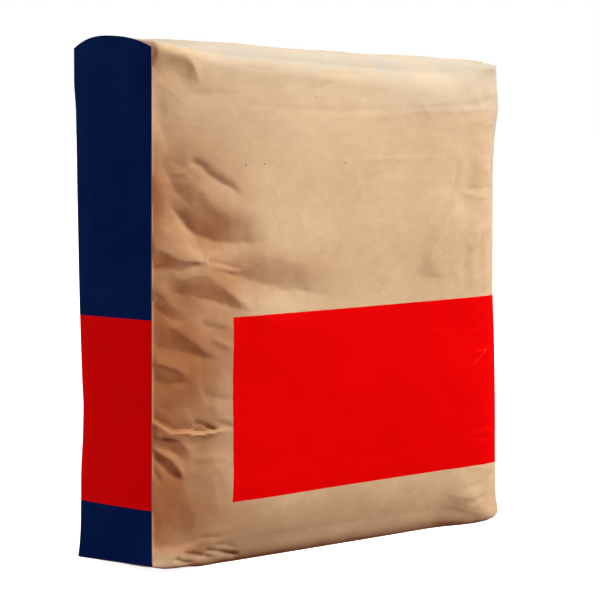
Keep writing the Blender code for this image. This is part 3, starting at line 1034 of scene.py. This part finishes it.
def makeInkGroup():
    # how thickly the ink lies: mottled, thin on the fibres and rubbed at the folds
    group, enter, leave = newGroup("printInk", [
        ("Vector", "INPUT", "Vector"), ("Lines", "INPUT", "Float"),
        ("Cover", "OUTPUT", "Float"), ("Shade", "OUTPUT", "Float"),
    ])
    noises = {name: noiseNode(group, enter["Vector"], *grain) for name, grain in inkGrain.items()}
    pinholes = rangeNode(group, noises["speck"], 0.80, 0.88, 1.0, 0.55)
    rubbed = rangeNode(group, enter["Lines"], 0.35, 1.1, 1.0, 0.72)
    shade = blendNodes(group, (noises["cloud"], 0.7), (noises["roll"], 0.3))
    group.links.new(mathNode(group, "MULTIPLY", pinholes, rubbed), leave["Cover"])
    group.links.new(rangeNode(group, shade, 0.3, 0.7), leave["Shade"])


def groupNode(tree, name, links):
    node = addNode(tree, "Group")
    node.node_tree = bpy.data.node_groups[name]
    for label, value in links.items():
        tree.links.new(value, node.inputs[label])
    return node.outputs


def paperWithPaintedLight(tree, place, lines, stock):
    # colour of the bare paper: pulp and flecks, painted highlights on fold ridges and painted shade in
    # fold valleys, painted shade near the ends and low down, a painted paler top, and grey dust that
    # also stands in for the top's highlight
    tone = rangeNode(tree, stock["Tone"], 0.36, 0.64)
    colour = mixColour(tree, tone, paperLook["deep"], paperLook["pale"])
    flecks = mathNode(tree, "MULTIPLY", stock["Flecks"], paperLook["fleckShare"])
    colour = mixColour(tree, flecks, colour, paperLook["fleck"])
    # painted highlight on fold ridges and painted shade in fold valleys, by the fold lines
    for name, sign in (("ridgeHighlight", 1.0), ("valleyShade", -1.0)):
        share = rangeNode(tree, lines, sign * 0.2, sign * 1.2, 0.0, paperLook[name + "Share"])
        colour = mixColour(tree, share, colour, paperLook[name])
    # painted shade: the paper is darkened by this attribute's share
    shaded = mixColour(tree, 1.0, colour, paintedShade["shadeTint"], "MULTIPLY")
    colour = mixColour(tree, attributeNode(tree, "paintedShade"), colour, shaded)
    # painted highlight: paler paper near the top
    colour = mixColour(tree, attributeNode(tree, "topHighlightShare"), colour, topHighlight["colour"])
    # grey dust, which also paints the top's highlight
    patchy = rangeNode(tree, noiseNode(tree, place, *dustAndHighlight["patchNoise"]), *dustAndHighlight["patchRange"])
    dustAndHighlightShare = mathNode(tree, "MULTIPLY", attributeNode(tree, "dustAndHighlightShare"), patchy)
    return mixColour(tree, dustAndHighlightShare, colour, dustAndHighlight["colour"])


def paintCreaseHighlight(tree, place, axes, colour):
    # painted highlight: pale line along the front of the block-end crease
    wander = noiseNode(tree, place, *creaseHighlight["noise"])
    stray = mathNode(tree, "MULTIPLY", wander, creaseHighlight["stray"])
    reach = mathNode(tree, "ADD", mathNode(tree, "ABSOLUTE", axes["X"]), stray)
    start, end = halfLength - creaseHighlight["from"], halfLength + creaseHighlight["to"]
    highlight = rangeNode(tree, reach, start, end, 0.0, creaseHighlight["share"])
    inFront = rangeNode(tree, axes["Y"], 0.0, creaseHighlight["frontFrom"])
    return mixColour(tree, mathNode(tree, "MULTIPLY", highlight, inFront), colour, creaseHighlight["colour"])


facePrint = {
    "left": 0.0753,  # of the red panel, from the left end
    "low": 0.0481,
    "high": 0.1910,
    "climb": 0.0024,  # of the panel over the sack's length
    "bandLow": 0.0494,  # of the red band round the block ends
    "bandHigh": 0.1927,
    "edge": 0.0001,  # half the width of an inked edge's soft border
    "wobble": (800.0, 0.0004),  # noise scale, and how far an inked edge strays
}

# Pinholes that vent the sack, drawn as dark dots of painted shade: from the left end and up, in metres,
# and the radius of their rims.
ventHoles = {
    "places": [(0.0898, 0.3074), (0.1093, 0.3079), (0.1986, 0.3074)],
    "radius": 0.0011,
    "dark": 0.4,  # share of the radius that is fully dark
    "share": 0.8,
    "colour": (0.17, 0.09, 0.045),
}


def edgeMask(tree, value, edge, way):
    # 1 on the printed side of an edge, with a soft border
    soft = way * facePrint["edge"]
    return rangeNode(tree, value, edge - soft, edge + soft)


def printFace(tree, colour, ink, red, wobble):
    # the red panel lies on the paper's own coordinates, so it bends with the folds
    paperMap = addNode(tree, "UVMap")
    paperMap.uv_map = "paper"
    flat = splitNode(tree, paperMap.outputs[0])
    u = mathNode(tree, "ADD", flat["X"], wobble)
    climb = rangeNode(tree, u, 0.0, 2.0 * halfLength, 0.0, facePrint["climb"])
    v = mathNode(tree, "SUBTRACT", mathNode(tree, "ADD", flat["Y"], wobble), climb)
    cover = edgeMask(tree, u, facePrint["left"], 1)
    for mask in (edgeMask(tree, v, facePrint["low"], 1), edgeMask(tree, v, facePrint["high"], -1)):
        cover = mathNode(tree, "MULTIPLY", cover, mask)
    cover = mathNode(tree, "MULTIPLY", cover, ink["Cover"])
    colour = mixColour(tree, cover, colour, red)
    radius = ventHoles["radius"]
    for hole in ventHoles["places"]:
        gap = addNode(tree, "VectorMath")
        gap.operation = "DISTANCE"
        gap.inputs[1].default_value = (*hole, 0.0)
        tree.links.new(paperMap.outputs[0], gap.inputs[0])
        # painted shade inside each pinhole
        dark = rangeNode(
            tree, gap.outputs["Value"], radius, ventHoles["dark"] * radius, 0.0, ventHoles["share"],
        )
        colour = mixColour(tree, dark, colour, ventHoles["colour"])
    return colour, cover


def printEnd(tree, colour, ink, red, wobble, height):
    v = mathNode(tree, "ADD", height, wobble)
    band = mathNode(
        tree, "MULTIPLY",
        edgeMask(tree, v, facePrint["bandLow"], 1), edgeMask(tree, v, facePrint["bandHigh"], -1),
    )
    navy = mixColour(tree, ink["Shade"], paperLook["navyDeep"], paperLook["navy"])
    return mixColour(tree, ink["Cover"], colour, mixColour(tree, band, navy, red)), ink["Cover"]


def makePaper(name, prints):
    # prints: "face" has the red panel, "end" is navy with a red band, "" is bare
    material = bpy.data.materials.new(name)
    material.use_nodes = True
    tree = material.node_tree
    shader = tree.nodes["Principled BSDF"]
    shader.inputs["Specular IOR Level"].default_value = paperLook["gloss"]
    place = addNode(tree, "TexCoord").outputs["Object"]
    stock = groupNode(tree, "paperStock", {"Vector": place})
    lines = attributeNode(tree, "foldLines")
    colour = paperWithPaintedLight(tree, place, lines, stock)
    if prints:
        ink = groupNode(tree, "printInk", {"Vector": place, "Lines": lines})
        red = mixColour(tree, ink["Shade"], paperLook["redDeep"], paperLook["red"])
        axes = splitNode(tree, place)
        scale, stray = facePrint["wobble"]
        wobble = mathNode(tree, "SUBTRACT", noiseNode(tree, place, scale, 1.0), 0.5)
        wobble = mathNode(tree, "MULTIPLY", wobble, stray)
        if prints == "face":
            colour = paintCreaseHighlight(tree, place, axes, colour)
            colour, cover = printFace(tree, colour, ink, red, wobble)
        else:
            colour, cover = printEnd(tree, colour, ink, red, wobble, axes["Z"])
        roughness = rangeNode(tree, cover, 0.0, 1.0, paperLook["roughness"], paperLook["inkRoughness"])
    else:
        roughness = rangeNode(tree, stock["Tone"], 0.3, 0.7, *paperLook["sleeveRoughness"])
    bump = addNode(tree, "Bump", {"Strength": paperLook["bump"], "Distance": paperLook["bumpHeight"]})
    tree.links.new(stock["Height"], bump.inputs["Height"])
    tree.links.new(colour, shader.inputs["Base Color"])
    tree.links.new(roughness, shader.inputs["Roughness"])
    tree.links.new(bump.outputs[0], shader.inputs["Normal"])
    return material


# Sheets pasted on the block ends.
def thicken(sheet, thickness, offset, sign):
    if sheet.data.polygons[0].normal.x * sign < 0.0:
        sheet.data.flip_normals()
    thick = sheet.modifiers.new("sheet", "SOLIDIFY")
    thick.thickness = thickness
    thick.offset = offset
    bpy.context.view_layer.objects.active = sheet
    bpy.ops.object.modifier_apply(modifier="sheet")
    bpy.ops.object.shade_smooth_by_angle(angle=math.radians(40.0))


endCover = {
    "inset": 0.0006,  # of the sheet's edge from the front crease and the lower one
    "wrap": 0.0001,  # how far it laps over at the arch and at the back
    "gap": 0.0004,
    "thickness": 0.0003,
    "columns": 36,
    "rows": 140,
    "bulge": 0.0014,
    # dents: noise scale across and up, and depth in mm
    "dents": ((26.0, 17.0, 0.9), (60.0, 48.0, 0.25)),
}


def makeCover(name, sign):
    cover, across, height = newGrid(name, endCover["columns"], endCover["rows"])
    along = np.full(len(across), sign)
    inset, wrap = endCover["inset"], endCover["wrap"]
    front, back = facesAt(along, height)
    y = mix(inset - front, back + wrap, (across + 1.0) / 2.0)
    top = crestAt(along) - archFall(along, across) + wrap
    z = mix(baseAt(along) + inset, top, height) - sagAt(along, across, height)
    middle = (1.0 - across ** 4) * (1.0 - (2.0 * height - 1.0) ** 8)
    (wideY, wideZ, wideDepth), (smallY, smallZ, smallDepth) = endCover["dents"]
    dents = noiseAt(y * wideY, z * wideZ + sign * 3.0, 4.0) * wideDepth
    dents += noiseAt(y * smallY, z * smallZ, 9.0 * sign) * smallDepth
    out = endCover["gap"] + endCover["thickness"] + (endCover["bulge"] + dents * mm) * middle
    x = sign * (halfLength + out)
    if sign > 0.0:
        x = x - listedAt("rightTuck", height)
    placePoints(cover.data, x, y, z)
    thicken(cover, endCover["thickness"], -1.0, sign)
    return cover


sleeve = {
    "columns": 40,
    "rows": 20,
    "gap": 0.0019,  # from the CAD tongue's inner face, to clear the cover's bulge
    "thickness": 0.0004,
    "curl": 0.0016,
    "curlFront": 0.2,  # share of it at the front corner
    "corner": 0.0045,
    "wave": (70.0, 50.0, 0.00025),  # noise scale across and up, and height
}


def makeSleeve():
    # the tongue of the filling valve, folded down over the right end
    low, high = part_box("valve_sleeve")
    tongue, across, height = newGrid("sleeve_tongue", sleeve["columns"], sleeve["rows"])
    size = high - low
    lost = np.maximum(sleeve["corner"] - height * size.z, 0.0)
    cut = sleeve["corner"] - np.sqrt(np.maximum(sleeve["corner"] ** 2 - lost ** 2, 0.0))
    y = (low.y + high.y) / 2.0 + across * (size.y / 2.0 - cut)
    z = high.z - (1.0 - height) * size.z
    curl = sleeve["curl"] * (1.0 - height) ** 2
    curl *= mix(sleeve["curlFront"], 1.0, (across + 1.0) / 2.0)
    waveY, waveZ, waveHeight = sleeve["wave"]
    wave = np.abs(noiseAt(y * waveY, z * waveZ, 2.0)) * waveHeight
    tuck = listedAt("rightTuck", z / (leftCrest - sackForm["crestDrop"]))
    placePoints(tongue.data, low.x + sleeve["gap"] + curl + wave - tuck, y, z)
    thicken(tongue, sleeve["thickness"], 1.0, 1.0)
    return tongue


placeCamera()
placeLamps()
makeSky()
makeFloor()
bpy.context.scene.view_settings.view_transform = "Standard"
print("Camera, lamps and floor are in place.")

makePaperGroup()
makeInkGroup()
kraftPaper = makePaper("kraftPaper", "face")
coverPaper = makePaper("coverPaper", "end")
sleevePaper = makePaper("sleevePaper", "")
print("Paper finishes are ready.")

sack = makeSack()
closeSack(sack)
sack.data.materials.append(kraftPaper)
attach(sack, "root")
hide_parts("paper_sack")
print("Sack rolled and creased:", len(sack.data.polygons), "faces.")

for coverName, coverNode, coverSign in (
    ("printed_cover_left", "end_cover_left", -1.0),
    ("printed_cover_right", "end_cover_right", 1.0),
):
    cover = makeCover(coverName, coverSign)
    cover.data.materials.append(coverPaper)
    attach(cover, "root")
    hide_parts(coverNode)
print("End covers pasted on.")

tongue = makeSleeve()
tongue.data.materials.append(sleevePaper)
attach(tongue, "root")
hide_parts("valve_sleeve")
print("Valve tongue folded down.")
